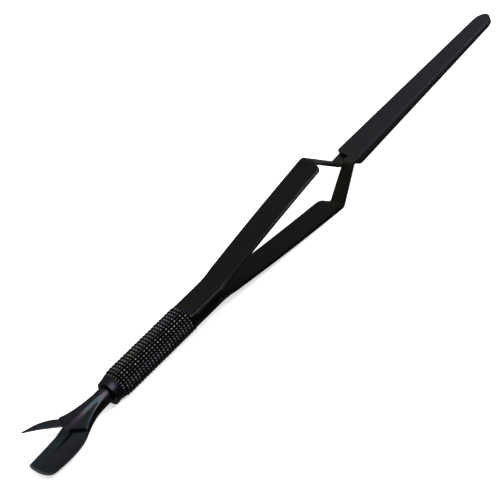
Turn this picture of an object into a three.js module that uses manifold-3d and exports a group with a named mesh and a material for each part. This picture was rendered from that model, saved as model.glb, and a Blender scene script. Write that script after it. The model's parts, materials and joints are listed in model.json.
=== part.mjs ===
// Cross-lock spring tweezers with a knurled handle and a forked scraper end.
// Units are millimetres. The tool is modelled along +X: x = 0 is the handle's fork-end face,
// +X runs to the jaw tips, +Y is to the left and +Z is up. It is then laid on its table.
import * as THREE from 'three';
import { mergeVertices } from 'three/addons/utils/BufferGeometryUtils.js';
import Module from 'manifold-3d';

const wasm = await Module();
wasm.setup();

// ---- driving dimensions -------------------------------------------------------------------
const CLEAR = 0.15;              // gap left between two fixed pieces that touch on the real tool

// knurled handle barrel
const GRIP_R = 4.15;             // over the tips of the knurl
const GRIP_START = 4.5;          // end of the smooth collar
const GRIP_END = 28.7;           // where the milled flats begin
const COLLAR_R = 3.45;           // collar's end face
const COLLAR_CHAMFER = 0.25;
const KNURL_LEAD = 1.2;          // the collar's last stretch, chamfered by KNURL_DROP up to the grip
const KNURL_DROP = 0.25;
const BARREL_END = 30.9;
const CUTTER_R = 3;              // radius of the cutter that runs the flats out into the grip
const MOUTH_R = 2.85;            // open mouth round the neck
const MOUTH_DEPTH = 2.4;
const BORE_R = 2.35;             // bore for the fork's shank
const BORE_END = 13;
const SOCKET_START = 16;         // socket for the stack of strips and spacer
const SOCKET_HALF_WIDTH = 2.7;
const BARREL_SIDES = 64;

// stack at the root: two spring strips with a spacer between them
const STRIP_T = 1.0;
const SPACER_T = 1.8;            // distance between the strips' inner faces
const ROOT_HALF_T = SPACER_T / 2 + STRIP_T;
const TANG_START = 17;
const TANG_HALF_WIDTH = 2.5;
const SLOT_ROOT = 40.2;          // where the spacer ends and the strips part
const ROOT_HALF_WIDTH = 3.95;

// bowed spring strips
const WAIST_START = SLOT_ROOT + 1;   // the strip narrows from the root's width between these
const WAIST_END = SLOT_ROOT + 5;
const ARM_END = 83.9;            // the bend into the leg
const ARM_FREE_END = 82.6;       // end of the half that has no leg, beside the leg
const ARM_FREE_SLANT = 0.7;      // how much shorter it is at the outer edge
const ARM_SLOPE_ROOT = 0.16;
const ARM_SLOPE_END = 0.111;
const ARM_HALF_WIDTH_ROOT = 3.72;
const ARM_LEG_SIDE_Y = 4.0;      // far edge at the bend, on the leg's half
const ARM_FREE_SIDE_Y = 3.7;     // far edge at the bend, on the free half
const ARM_CORNER_R = 1.0;
const FLEX_AT = 54.6;            // effective hinge of the flexing strip
const FLEX_GAP = 0.3;
const BOW_STEP = 3.6;            // spacing of the points along the bow

// crossing legs
const LEG_ANGLE = THREE.MathUtils.degToRad(44.3);
const LEG_INNER_Y = 0.5;         // keeps the two legs clear of each other at every pose
const LEG_FILLET = 1.4;
const BEND_R = 1.4;              // radius of the strip's middle at both bends

// jaws
const JAW_START = 94.6;
const JAW_GAP = 0.3;             // closed jaws, left apart by this much
const JAW_T_BASE = 1.15;
const JAW_T_TIP = 0.65;
const JAW_HALF_WIDTH_BASE = 3.85;
const JAW_HALF_WIDTH_TIP = 2.45;
const JAW_PITCH = THREE.MathUtils.degToRad(1.29);   // both closed jaws rise from the tool's axis
const NOSE_START = 150.6;
const NOSE_ROUND = 1.6;          // reach of the nose's side curve, back from the tip
const NOSE_FULL = 0.6;           // share of the half width at which the nose turns
const TIP = 154.48;
const WELD = 0.15;               // the leg's end is sunk this far inside the jaw's faces

// fork: round neck, flaring into a scoop, with a pointed prong beside it
const SHANK_R = 2.1;
const SHANK_END = 12.5;
const SCOOP_TIP = -26.96;
const SCOOP_CENTRE_Y = -2.6;
const HOLLOW_R = 9.5;
const HOLLOW_FLOOR_Z = -0.75;
const HOLLOW_START = -12.2;
const HOLLOW_TILT = -0.18;       // radians; the step crosses the fork at a slant
const HOLLOW_SIDE = 3;           // the cutter's centre is this far to the right of the scoop's
const HOLLOW_END = -40;
// how the hollow's floor rises at the step: [distance from the step, height above the floor]
const HOLLOW_RUN_OUT = [[5, 0], [2.2, 0.35], [0.6, 1.1], [0, 2]];
const FORK_SIDES = 36;
const PRONG_T = 1.5;
const PRONG_BEVEL = 0.45;        // height and width of its edges' bevel
const PRONG_BEVEL_WIDTH = 0.3;

// ---- small helpers ------------------------------------------------------------------------
const metal = (color, roughness) => new THREE.MeshStandardMaterial({ color, roughness, metalness: 0.9 });

function toSolid(geometry) {
  const bare = geometry.clone();
  bare.deleteAttribute('normal');
  bare.deleteAttribute('uv');
  const merged = mergeVertices(bare, 1e-4);
  return new wasm.Manifold(new wasm.Mesh({
    numProp: 3,
    vertProperties: new Float32Array(merged.attributes.position.array),
    triVerts: new Uint32Array(merged.index.array),
  }));
}

function toGeometry(solid) {
  const mesh = solid.getMesh();
  const geometry = new THREE.BufferGeometry();
  geometry.setAttribute('position', new THREE.BufferAttribute(new Float32Array(mesh.vertProperties), 3));
  geometry.setIndex(new THREE.BufferAttribute(new Uint32Array(mesh.triVerts), 1));
  geometry.computeVertexNormals();
  return geometry;
}

// Solid of revolution round the X axis, from [x, radius] pairs that start and end on the axis.
function turned(profile, sides) {
  const points = profile.map(([x, r]) => new THREE.Vector2(r, x));
  const geometry = new THREE.LatheGeometry(points, sides);
  geometry.rotateZ(-Math.PI / 2);
  return geometry;
}

function block(x0, x1, y0, y1, z0, z1) {
  const geometry = new THREE.BoxGeometry(x1 - x0, y1 - y0, z1 - z0);
  geometry.translate((x0 + x1) / 2, (y0 + y1) / 2, (z0 + z1) / 2);
  return toSolid(geometry);
}

// Outline in the X-Y plane made into a solid between two heights.
function fromPlan(outline, z0, z1) {
  const shape = new THREE.Shape(outline);
  const geometry = new THREE.ExtrudeGeometry(shape, { depth: z1 - z0, bevelEnabled: false });
  geometry.translate(0, 0, z0);
  return toSolid(geometry);
}

// Outline in the X-Z plane made into a solid between y = -half and y = half.
function fromSide(outline, half) {
  const shape = new THREE.Shape(outline);
  const geometry = new THREE.ExtrudeGeometry(shape, { depth: 2 * half, bevelEnabled: false });
  geometry.rotateX(Math.PI / 2);
  geometry.translate(0, half, 0);
  return toSolid(geometry);
}

// Height of an arm's middle at x, on the bowed stretch between the slot root and the bend.
function armHeight(x) {
  const s = Math.max(x - SLOT_ROOT, 0);
  const fall = (ARM_SLOPE_ROOT - ARM_SLOPE_END) / (2 * (ARM_END - SLOT_ROOT));
  return SPACER_T / 2 + STRIP_T / 2 + ARM_SLOPE_ROOT * s - fall * s * s;
}

// Points of an arc that rounds the corner b of the path a, b, c.
function roundedCorner(a, b, c, radius, steps) {
  const inward = a.clone().sub(b).normalize();
  const outward = c.clone().sub(b).normalize();
  const half = inward.angleTo(outward) / 2;
  const back = radius / Math.tan(half);
  const start = b.clone().addScaledVector(inward, back);
  const end = b.clone().addScaledVector(outward, back);
  const curve = new THREE.QuadraticBezierCurve(start, b, end);
  return curve.getPoints(steps);
}

// ---- spring arm ---------------------------------------------------------------------------
// Middle line of the upper arm in the X-Z plane, from the barrel's socket to the jaw's shoulder.
function armMiddle() {
  const jawZ = -(JAW_GAP + JAW_T_BASE) / 2;
  const bend = new THREE.Vector2(ARM_END, armHeight(ARM_END));
  const foot = new THREE.Vector2(ARM_END + (bend.y - jawZ) / Math.tan(LEG_ANGLE), jawZ);
  const shoulder = new THREE.Vector2(JAW_START, jawZ);
  const points = [new THREE.Vector2(TANG_START, armHeight(0))];
  for (let x = SLOT_ROOT; x < ARM_END - BEND_R; x += BOW_STEP) {
    points.push(new THREE.Vector2(x, armHeight(x)));
  }
  const last = points[points.length - 1];
  points.push(...roundedCorner(last, bend, foot, BEND_R, 5));
  points.push(...roundedCorner(bend, foot, shoulder, BEND_R, 5));
  points.push(shoulder);
  return points;
}

// Closed outline of a strip of even thickness round a middle line.
function stripSide(middle, half) {
  const upper = [];
  const lower = [];
  for (let i = 0; i < middle.length; i += 1) {
    const before = middle[Math.max(i - 1, 0)];
    const after = middle[Math.min(i + 1, middle.length - 1)];
    const along = after.clone().sub(before).normalize();
    const side = new THREE.Vector2(-along.y, along.x);
    upper.push(middle[i].clone().addScaledVector(side, half));
    lower.unshift(middle[i].clone().addScaledVector(side, -half));
  }
  return [...upper, ...lower];
}

// Plan of the strip: full width up to the bend, then a leg on the +Y half only.
function stripPlan() {
  const cornerX = ARM_FREE_END - ARM_FREE_SLANT;
  const shape = new THREE.Shape();
  shape.moveTo(TANG_START, -TANG_HALF_WIDTH);
  shape.lineTo(BARREL_END + CLEAR, -TANG_HALF_WIDTH);
  shape.lineTo(BARREL_END + CLEAR, -ROOT_HALF_WIDTH);
  shape.lineTo(WAIST_START, -ROOT_HALF_WIDTH);
  shape.lineTo(WAIST_END, -ARM_HALF_WIDTH_ROOT);
  shape.lineTo(cornerX - ARM_CORNER_R, -ARM_FREE_SIDE_Y);
  shape.quadraticCurveTo(cornerX, -ARM_FREE_SIDE_Y, cornerX, ARM_CORNER_R - ARM_FREE_SIDE_Y);
  shape.lineTo(ARM_FREE_END, LEG_INNER_Y - LEG_FILLET);
  shape.quadraticCurveTo(ARM_FREE_END, LEG_INNER_Y, ARM_FREE_END + LEG_FILLET, LEG_INNER_Y);
  shape.lineTo(JAW_START, LEG_INNER_Y);
  shape.lineTo(JAW_START, JAW_HALF_WIDTH_BASE);
  shape.lineTo(ARM_END, ARM_LEG_SIDE_Y);
  shape.lineTo(WAIST_END, ARM_HALF_WIDTH_ROOT);
  shape.lineTo(WAIST_START, ROOT_HALF_WIDTH);
  shape.lineTo(BARREL_END + CLEAR, ROOT_HALF_WIDTH);
  shape.lineTo(BARREL_END + CLEAR, TANG_HALF_WIDTH);
  shape.lineTo(TANG_START, TANG_HALF_WIDTH);
  return shape.getPoints(5);
}

// The root's sides stay round, on the same radius as the grip, and open out past the slot root.
function rootEnvelope() {
  const profile = [
    [0, 0],
    [0, GRIP_R],
    [SLOT_ROOT, GRIP_R],
    [SLOT_ROOT + 8, 3 * GRIP_R],
    [TIP, 3 * GRIP_R],
    [TIP, 0],
  ];
  return toSolid(turned(profile, BARREL_SIDES));
}

function jawPlan() {
  const noseR = JAW_HALF_WIDTH_TIP;
  const shape = new THREE.Shape();
  shape.moveTo(JAW_START, -JAW_HALF_WIDTH_BASE);
  shape.lineTo(NOSE_START, -noseR);
  shape.bezierCurveTo(TIP - NOSE_ROUND, -noseR, TIP, -noseR * NOSE_FULL, TIP, 0);
  shape.bezierCurveTo(TIP, noseR * NOSE_FULL, TIP - NOSE_ROUND, noseR, NOSE_START, noseR);
  shape.lineTo(JAW_START, JAW_HALF_WIDTH_BASE);
  return shape.getPoints(6);
}

// The upper arm's jaw is the lower one: the legs cross. A positive pitch raises its tip.
function jaw(pitch) {
  const inner = -JAW_GAP / 2;
  const side = [
    new THREE.Vector2(JAW_START, inner),
    new THREE.Vector2(JAW_START, inner - JAW_T_BASE),
    new THREE.Vector2(TIP, inner - JAW_T_TIP),
    new THREE.Vector2(TIP, inner),
  ];
  const blade = fromSide(side, 2 * GRIP_R);
  const level = blade.intersect(fromPlan(jawPlan(), -2 * GRIP_R, 2 * GRIP_R));
  const turn = -THREE.MathUtils.radToDeg(pitch);
  return level.translate([-JAW_START, 0, 0]).rotate([0, turn, 0]).translate([JAW_START, 0, 0]);
}

function wholeArm(pitch) {
  const middle = armMiddle();
  middle.push(new THREE.Vector2(JAW_START + 4 * WELD, middle[middle.length - 1].y));
  const strip = fromSide(stripSide(middle, STRIP_T / 2), 2 * GRIP_R);
  const reach = fromPlan(stripPlan(), -4 * GRIP_R, 4 * GRIP_R);
  const neck = block(JAW_START - 2 * WELD, JAW_START + 3 * WELD, LEG_INNER_Y, JAW_HALF_WIDTH_BASE - WELD,
    -JAW_GAP / 2 - JAW_T_BASE + WELD, -JAW_GAP / 2 - WELD);
  return strip.intersect(reach).intersect(rootEnvelope()).add(neck).add(jaw(pitch));
}

function armHalf(fixed, pitch) {
  const far = 20 * GRIP_R;
  const keep = fixed
    ? block(-far, FLEX_AT - FLEX_GAP / 2, -far, far, -far, far)
    : block(FLEX_AT + FLEX_GAP / 2, 2 * far, -far, far, -far, far);
  return wholeArm(pitch).intersect(keep);
}

// ---- handle -------------------------------------------------------------------------------
function barrelBlank() {
  const profile = [
    [BORE_END, 0],
    [BORE_END, BORE_R],
    [MOUTH_DEPTH, BORE_R],
    [MOUTH_DEPTH, MOUTH_R],
    [0, MOUTH_R],
    [0, COLLAR_R - COLLAR_CHAMFER],
    [COLLAR_CHAMFER, COLLAR_R],
    [GRIP_START - KNURL_LEAD, GRIP_R - KNURL_DROP],
    [GRIP_START, GRIP_R],
    [BARREL_END, GRIP_R],
    [BARREL_END, 0],
  ];
  return toSolid(turned(profile, BARREL_SIDES));
}

function handleBarrel() {
  let solid = barrelBlank();
  for (const side of [-1, 1]) {
    const cutter = new THREE.CylinderGeometry(CUTTER_R, CUTTER_R, 4 * GRIP_R, 40);
    cutter.translate(GRIP_END + CUTTER_R, 0, side * (ROOT_HALF_T + CUTTER_R));
    solid = solid.subtract(toSolid(cutter));
  }
  const halfHeight = ROOT_HALF_T + CLEAR;
  const socket = block(SOCKET_START, 2 * BARREL_END, -SOCKET_HALF_WIDTH, SOCKET_HALF_WIDTH,
    -halfHeight, halfHeight);
  return solid.subtract(socket);
}

function rootSpacer() {
  const half = SPACER_T / 2 - CLEAR;
  const tang = block(TANG_START, BARREL_END + 1, -TANG_HALF_WIDTH, TANG_HALF_WIDTH, -half, half);
  const body = block(BARREL_END + CLEAR, SLOT_ROOT, -GRIP_R, GRIP_R, -half, half);
  return tang.add(body.intersect(rootEnvelope()));
}

// ---- fork ---------------------------------------------------------------------------------
// Left edge, right edge, top and bottom of the fork's blank at stations along X.
const FORK_STATIONS = [
  { x: 0, left: 2.25, right: -2.25, top: 2.25, bottom: -2.25 },
  { x: -3, left: 2.35, right: -2.35, top: 2.2, bottom: -2.2 },
  { x: -6, left: 2.95, right: -2.95, top: 2.15, bottom: -2.15 },
  { x: -9, left: 4.1, right: -4.15, top: 2.0, bottom: -2.1 },
  { x: -11.6, left: 5.9, right: -5.4, top: 1.7, bottom: -2.05 },
  { x: -14.5, left: 4.6, right: -6.6, top: 0.9, bottom: -2.0 },
  { x: -18, left: 3.4, right: -7.2, top: 0.5, bottom: -1.9 },
  { x: -22, left: 2.7, right: -7.2, top: 0.15, bottom: -1.7 },
  { x: -27.5, left: 2.4, right: -6.3, top: -0.4, bottom: -1.2 },
];

const FORK_END = -27.5;
const FORK_RING_STEP = 1.1;

// One of the stations' fields at x, on straight lines between the stations.
function forkAt(x, field) {
  let i = 0;
  while (i < FORK_STATIONS.length - 2 && FORK_STATIONS[i + 1].x > x) {
    i += 1;
  }
  const a = FORK_STATIONS[i];
  const b = FORK_STATIONS[i + 1];
  const t = THREE.MathUtils.clamp((x - a.x) / (b.x - a.x), 0, 1);
  return THREE.MathUtils.lerp(a[field], b[field], t);
}

// A turned rod whose rings are stretched to the fork's width and height at each station.
function forkBlank() {
  const profile = [[FORK_END, 0]];
  for (let x = FORK_END; x <= 0; x += FORK_RING_STEP) {
    profile.push([x, 1]);
  }
  profile.push([0, 0]);
  const geometry = turned(profile, FORK_SIDES);
  const position = geometry.attributes.position;
  for (let i = 0; i < position.count; i += 1) {
    const x = position.getX(i);
    const left = forkAt(x, 'left');
    const right = forkAt(x, 'right');
    const top = forkAt(x, 'top');
    const bottom = forkAt(x, 'bottom');
    position.setY(i, (left + right) / 2 + position.getY(i) * (left - right) / 2);
    position.setZ(i, (top + bottom) / 2 + position.getZ(i) * (top - bottom) / 2);
  }
  return toSolid(geometry);
}

// Plan of scoop and neck, with the notch where the prong is set on.
function forkPlan() {
  const shape = new THREE.Shape();
  shape.moveTo(5, 6);
  shape.lineTo(-11.6, 6.6);
  shape.lineTo(-13.5, 2.5);
  shape.lineTo(-25.6, 2.0);
  shape.quadraticCurveTo(-26.3, 1.9, -26.45, 1.2);
  shape.quadraticCurveTo(SCOOP_TIP - 0.4, -3.2, -26.2, -5.4);
  shape.quadraticCurveTo(-25.9, -6.3, -24.8, -6.9);
  shape.lineTo(-20, -9);
  shape.lineTo(5, -9);
  return shape.getPoints(8);
}

function hollow() {
  const profile = [
    [HOLLOW_END, 0],
    [HOLLOW_END, HOLLOW_R],
    ...HOLLOW_RUN_OUT.map(([back, rise]) => [HOLLOW_START - back, HOLLOW_R - rise]),
    [HOLLOW_START, 0],
  ];
  const geometry = turned(profile, 2 * FORK_SIDES);
  geometry.rotateZ(HOLLOW_TILT);
  geometry.translate(0, SCOOP_CENTRE_Y - HOLLOW_SIDE, HOLLOW_FLOOR_Z + HOLLOW_R);
  return toSolid(geometry);
}

function forkScoop() {
  const shank = toSolid(turned([[-1, 0], [-1, SHANK_R], [SHANK_END, SHANK_R], [SHANK_END, 0]], FORK_SIDES));
  const plan = fromPlan(forkPlan(), -6, 6);
  return forkBlank().intersect(plan).subtract(hollow()).add(shank);
}

function forkProng() {
  const shape = new THREE.Shape();
  shape.moveTo(-19.1, 11.7);
  shape.quadraticCurveTo(-16.2, 10.5, -13.2, 8.2);
  shape.quadraticCurveTo(-12.4, 7.4, -12.15, 6.3);
  shape.lineTo(-13.75, 3.35);
  shape.lineTo(-16.1, 7.0);
  shape.lineTo(-19.1, 11.7);
  const geometry = new THREE.ExtrudeGeometry(shape, {
    depth: PRONG_T - 2 * PRONG_BEVEL,
    bevelThickness: PRONG_BEVEL,
    bevelSize: PRONG_BEVEL_WIDTH,
    bevelSegments: 2,
    curveSegments: 6,
  });
  geometry.translate(0, 0, PRONG_BEVEL - PRONG_T / 2);
  return toSolid(geometry);
}

// ---- assembly -----------------------------------------------------------------------------
const tool = new THREE.Group();

function place(name, solid, material) {
  const mesh = new THREE.Mesh(toGeometry(solid), material);
  mesh.name = name;
  tool.add(mesh);
  return mesh;
}

place('handle_barrel', handleBarrel(), metal(0x1d1d1e, 0.55));
place('fork_scoop', forkScoop(), metal(0x232427, 0.4));
place('fork_prong', forkProng(), metal(0x26262a, 0.4));
place('root_spacer', rootSpacer(), metal(0x1b1b1d, 0.5));

// The lower arm is the upper arm turned half round about the tool's axis. Both jaws rise together,
// so its jaw is pitched the other way before the turn.
const sides = [
  { side: 'upper', turn: 0, pitch: JAW_PITCH },
  { side: 'lower', turn: Math.PI, pitch: -JAW_PITCH },
];
for (const { side, turn, pitch } of sides) {
  const root = place(`${side}_arm_root`, armHalf(true, pitch), metal(0x1e1e20, 0.45));
  const arm = place(`${side}_arm`, armHalf(false, pitch), metal(0x1e1e20, 0.45));
  root.rotation.x = turn;
  arm.rotation.x = turn;
}

// Lying on a table the tool rests on the grip's fork end and on the lower arm's bend.
const bendZ = armHeight(ARM_END) + STRIP_T / 2;
const TILT = Math.atan2(bendZ - GRIP_R, ARM_END - GRIP_START);
tool.rotation.y = -TILT;

const part = new THREE.Group();
part.add(tool);
part.updateMatrixWorld(true);
const extent = new THREE.Box3().setFromObject(tool, true);
const centre = extent.getCenter(new THREE.Vector3());
tool.position.set(-centre.x, -centre.y, -extent.min.z);

export default part;
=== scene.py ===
# %% [markdown]
# # Cross-lock tweezers with a knurled handle and a scraper fork
#
# A black coated steel hand tool, about 181 mm long. Two bowed spring strips start at a milled root, cross
# over through narrow legs and end in long flat jaws, so squeezing the strips opens the jaws. The handle is
# a turned bar with a square knurl, and a fork with a hollow scoop and a pointed prong stands out of it.
#
# Every piece is built in the tool's own frame, in millimetres: x = 0 is the handle's fork-end face, +x runs
# to the jaw tips, +y is the prong's side and +z is up. One function then lays the points where the packed
# model has the tool, which lies on its table tilted by a few degrees.

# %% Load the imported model
import json
import math

import bmesh
import bpy
import numpy as np
from mathutils import Matrix, Vector


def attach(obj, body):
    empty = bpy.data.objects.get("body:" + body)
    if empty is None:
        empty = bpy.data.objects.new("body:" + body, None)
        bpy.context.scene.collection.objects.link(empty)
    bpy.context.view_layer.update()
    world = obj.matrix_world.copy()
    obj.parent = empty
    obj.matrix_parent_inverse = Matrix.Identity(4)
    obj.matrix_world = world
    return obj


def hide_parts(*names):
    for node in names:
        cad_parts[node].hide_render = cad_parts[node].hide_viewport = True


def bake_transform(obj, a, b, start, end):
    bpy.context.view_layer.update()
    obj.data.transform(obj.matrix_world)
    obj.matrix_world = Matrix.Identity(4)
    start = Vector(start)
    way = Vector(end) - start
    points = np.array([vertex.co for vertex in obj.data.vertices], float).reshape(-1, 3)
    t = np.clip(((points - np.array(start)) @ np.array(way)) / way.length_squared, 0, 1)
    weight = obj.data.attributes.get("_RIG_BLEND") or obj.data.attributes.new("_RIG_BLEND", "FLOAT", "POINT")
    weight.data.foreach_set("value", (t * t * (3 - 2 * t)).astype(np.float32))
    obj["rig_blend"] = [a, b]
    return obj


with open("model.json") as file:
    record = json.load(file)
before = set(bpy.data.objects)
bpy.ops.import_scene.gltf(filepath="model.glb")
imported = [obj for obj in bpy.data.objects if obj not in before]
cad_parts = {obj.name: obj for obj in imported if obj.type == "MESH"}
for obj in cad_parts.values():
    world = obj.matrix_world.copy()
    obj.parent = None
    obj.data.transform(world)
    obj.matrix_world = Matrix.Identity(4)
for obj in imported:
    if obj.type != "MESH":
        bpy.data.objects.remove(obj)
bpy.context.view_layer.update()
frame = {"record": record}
MM = 0.001

# %% [markdown]
# ## Where the tool lies
#
# The two milled flats at the root are mounts in the record. The point midway between them is on the tool's
# axis, and the normal of the top one is the tool's own up direction. That is enough to lay every piece.

# %% The tool's own frame
MOUNT_X = 36.0                    # how far along the tool the two flats' mount points are
mounts = {m["name"]: m for m in frame["record"]["mounts"]}
flat_top = Vector(mounts["root_flat_top"]["pos_m"])
flat_bottom = Vector(mounts["root_flat_bottom"]["pos_m"])
up = Vector(mounts["root_flat_top"]["axis"]).normalized()
along = Vector((up.z, 0.0, -up.x))
aside = Vector((0.0, 1.0, 0.0))
start = (flat_top + flat_bottom) / 2 - along * MOUNT_X * MM
LAY = Matrix((along, aside, up)).transposed().to_4x4()
LAY.translation = start
TILT = math.atan2(along.z, along.x)
ROOT_HALF_T = (flat_top - flat_bottom).length / MM / 2
print(f"tilt {math.degrees(TILT):.2f} degrees, {2 * ROOT_HALF_T:.2f} mm across the flats")


def lay(points):
    """Points of the tool's own frame, in mm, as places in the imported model, in metres."""
    return [LAY @ (Vector(p) * MM) for p in points]


# %% [markdown]
# ## Driving dimensions
#
# These are the real sizes of the tool's features, in millimetres. The pieces are worked out from them.

# %% Dimensions
GRIP_R = 4.15                     # over the tips of the knurl
GRIP_START = 2.95                 # the knurl begins on the collar's cone
GRIP_END = 28.9                   # where the milled flats begin
KNURL_RINGS = 25
KNURL_ROWS = 28
KNURL_DEPTH = 0.38
BARREL_END = 30.9
CUTTER_R = 1.1                    # radius on which the cutter leaves the bar
STRIP_T = 1.0
SPACER_T = 2 * (ROOT_HALF_T - STRIP_T)
TANG_START = 17.0
TANG_HALF_WIDTH = 2.5
SLOT_ROOT = 40.2                  # where the strips part
SPACER_END = 39.6
ARM_END = 83.55                   # the bend into the leg
ARM_FREE_END = 83.25              # end of the half that has no leg, beside the leg
ARM_FREE_SLANT = 0.7              # how much shorter that half is at its outer edge
JAW_START = 94.3
TIP = 154.4
PITCH = (GRIP_END - GRIP_START) / KNURL_RINGS
HAIR = 0.01                       # keeps two pieces' flush faces from sharing a plane
print(f"knurl: {PITCH:.2f} mm along, {2 * math.pi * GRIP_R / KNURL_ROWS:.2f} mm round")

# %% [markdown]
# ## Helpers for meshes
#
# Turned and forged pieces can be made as a row of closed rings joined by quads: that is a loft. It keeps
# the faces in tidy rows, so a curve stays smooth. `loft` makes the mesh, `tidy` merges what is doubled,
# turns the faces outward and marks the sharp edges, and `piece` puts the result in the scene. `curve_at`
# reads a value between given stations on a smooth curve. `ease` is a smooth step from 0 to 1, and `fade`
# lays that step between two places, in either direction.

# %% Loft, tidy and piece


def loft(name, rings, marks, pair_last=False, painted_shades=None):
    """A closed piece from rings of equal length, in mm. marks and the painted shade have one number a point.
    """
    mesh = bpy.data.meshes.new(name)
    count = len(rings[0])
    faces = []
    for i in range(len(rings) - 1):
        a, b = i * count, (i + 1) * count
        for j in range(count):
            k = (j + 1) % count
            faces.append((a + j, a + k, b + k, b + j))
    last = (len(rings) - 1) * count
    faces.append(tuple(range(count)))
    if pair_last:
        for j in range(count // 2 - 1):
            faces.append((last + j, last + j + 1, last + count - 2 - j, last + count - 1 - j))
    else:
        faces.append(tuple(last + j for j in range(count)))
    mesh.from_pydata([Vector(p) * MM for ring in rings for p in ring], [], faces)
    for label, rows in (("mark", marks), ("painted_shade", painted_shades)):
        if rows:
            attribute = mesh.attributes.new(label, "FLOAT", "POINT")
            attribute.data.foreach_set("value", [m for row in rows for m in row])
    return mesh


def tidy(mesh, sharp_degrees, merge=0.003):
    """Merges doubled points, cuts large caps into triangles, turns faces outward, marks sharp edges."""
    work = bmesh.new()
    work.from_mesh(mesh)
    bmesh.ops.remove_doubles(work, verts=work.verts, dist=merge * MM)
    bmesh.ops.dissolve_degenerate(work, dist=merge * MM / 2, edges=work.edges)
    bmesh.ops.triangulate(work, faces=[f for f in work.faces if len(f.verts) > 4])
    bmesh.ops.recalc_face_normals(work, faces=work.faces)
    open_edges = sum(1 for e in work.edges if len(e.link_faces) != 2)
    work.to_mesh(mesh)
    work.free()
    mesh.shade_smooth()
    mesh.set_sharp_from_angle(angle=math.radians(sharp_degrees))
    if open_edges:
        print("open edges in", mesh.name, ":", open_edges)
    return mesh


def piece(name, mesh, material):
    """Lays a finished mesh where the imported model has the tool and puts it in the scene."""
    mesh.transform(LAY)
    thing = bpy.data.objects.new(name, mesh)
    bpy.context.collection.objects.link(thing)
    mesh.materials.clear()
    mesh.materials.append(material)
    print(f"{name}: {len(mesh.polygons)} faces, {len(mesh.vertices)} points")
    return thing


print("mesh helpers ready")

# %% Curves through stations


def curve_at(stations, x):
    """Value at x of the smooth curve through (x, value) stations, which are sorted by x either way."""
    table = sorted(stations)
    xs = [p[0] for p in table]
    ys = [p[1] for p in table]
    x = min(max(x, xs[0]), xs[-1])
    i = max(k for k in range(len(xs) - 1) if k == 0 or xs[k] <= x)

    def slope(k):
        low, high = max(k - 1, 0), min(k + 1, len(xs) - 1)
        return (ys[high] - ys[low]) / (xs[high] - xs[low])

    width = xs[i + 1] - xs[i]
    t = (x - xs[i]) / width
    t2, t3 = t * t, t * t * t
    return ((2 * t3 - 3 * t2 + 1) * ys[i] + (t3 - 2 * t2 + t) * slope(i) * width
            + (3 * t2 - 2 * t3) * ys[i + 1] + (t3 - t2) * slope(i + 1) * width)


def ease(t):
    """0 before 0, 1 after 1, and a smooth step between."""
    t = min(max(t, 0.0), 1.0)
    return t * t * (3 - 2 * t)


def fade(x, none, full):
    """0 at the place none, 1 at the place full, and a smooth step between them."""
    return ease((x - none) / (full - none))


def steps(a, b, spacing):
    """Evenly spaced values from a to b, no further apart than spacing."""
    count = max(1, math.ceil(abs(b - a) / spacing))
    return [a + (b - a) * i / count for i in range(count + 1)]


print("half way up a smooth step:", ease(0.5))

# %% [markdown]
# ## A helper for node trees
#
# One function adds a node, sets its options and fills or links its sockets. A Mix node has sockets for
# every type of value, so they are named by number: 0 is the share, 6 and 7 are the two colours. Colours are
# written as the sRGB hex values of a paint chart, and one function turns them into a shader's linear ones.

# %% Nodes and colours


def add(tree, kind, sockets=None, **settings):
    """A node with its settings; sockets maps an input's name or number to a value or another's output."""
    node = tree.nodes.new(kind)
    for key, value in settings.items():
        setattr(node, key, value)
    for key, value in (sockets or {}).items():
        if isinstance(value, bpy.types.NodeSocket):
            tree.links.new(value, node.inputs[key])
        else:
            node.inputs[key].default_value = value
    return node


def hex_colour(text):
    """Linear RGBA of an sRGB hex colour."""
    values = [int(text[i:i + 2], 16) / 255 for i in (1, 3, 5)]
    linear = [v / 12.92 if v <= 0.04045 else ((v + 0.055) / 1.055) ** 2.4 for v in values]
    return (*linear, 1.0)


def new_material(name):
    """An empty node material with its output linked to a Principled shader."""
    material = bpy.data.materials.new(name)
    material.use_nodes = True
    tree = material.node_tree
    tree.nodes.clear()
    shader = add(tree, "ShaderNodeBsdfPrincipled")
    add(tree, "ShaderNodeOutputMaterial", {"Surface": shader.outputs[0]})
    return material, tree, shader


print("grey card, linear:", [round(v, 3) for v in hex_colour("#777777")])

# %% [markdown]
# ## Black coated steel
#
# The whole tool is stainless spring steel under a thin black coating. The coating is nearly black with a
# satin sheen. Its hue drifts between a cold blue-black and a warm brown-black, as a thin film does where
# its thickness changes. It has rubbed a little lighter along the fork's and the prong's edges and on the
# knurl's tips, and a painted highlight draws a lighter line along the strips' and the flat's edges that
# face the light. On the legs and jaws it has worn thin, so the steel's own warmer colour shows there, and
# they are drawn lighter towards the tips as a painted reflection. Painted shade darkens it in corners,
# grooves, on faces turned away from the light and where one part lies under another. Under it the strips
# still have their fine lengthwise grinding lines, which make the sheen streaky. One function makes all
# three finishes: strips, turned handle and forged fork differ in hue, gloss and grain. The grinding lines
# are drawn about 0.15 mm apart, because real ones are too fine to show.

# %% Coated steel
# the colour of painted shade, for grooves, recesses and faces turned away from the light
PAINTED_SHADE_BLACK = "#09090c"
JAW_LIGHTER_START = 82.5             # lighter from here: thinner coat and painted reflection
LIGHTER_EDGE_PATCH_MM = 1.4                # the lighter edges, wear and painted highlight alike, come and go in patches this size
GLOSS_SPREAD = 0.06               # how far the fine lines move the roughness either way


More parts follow.
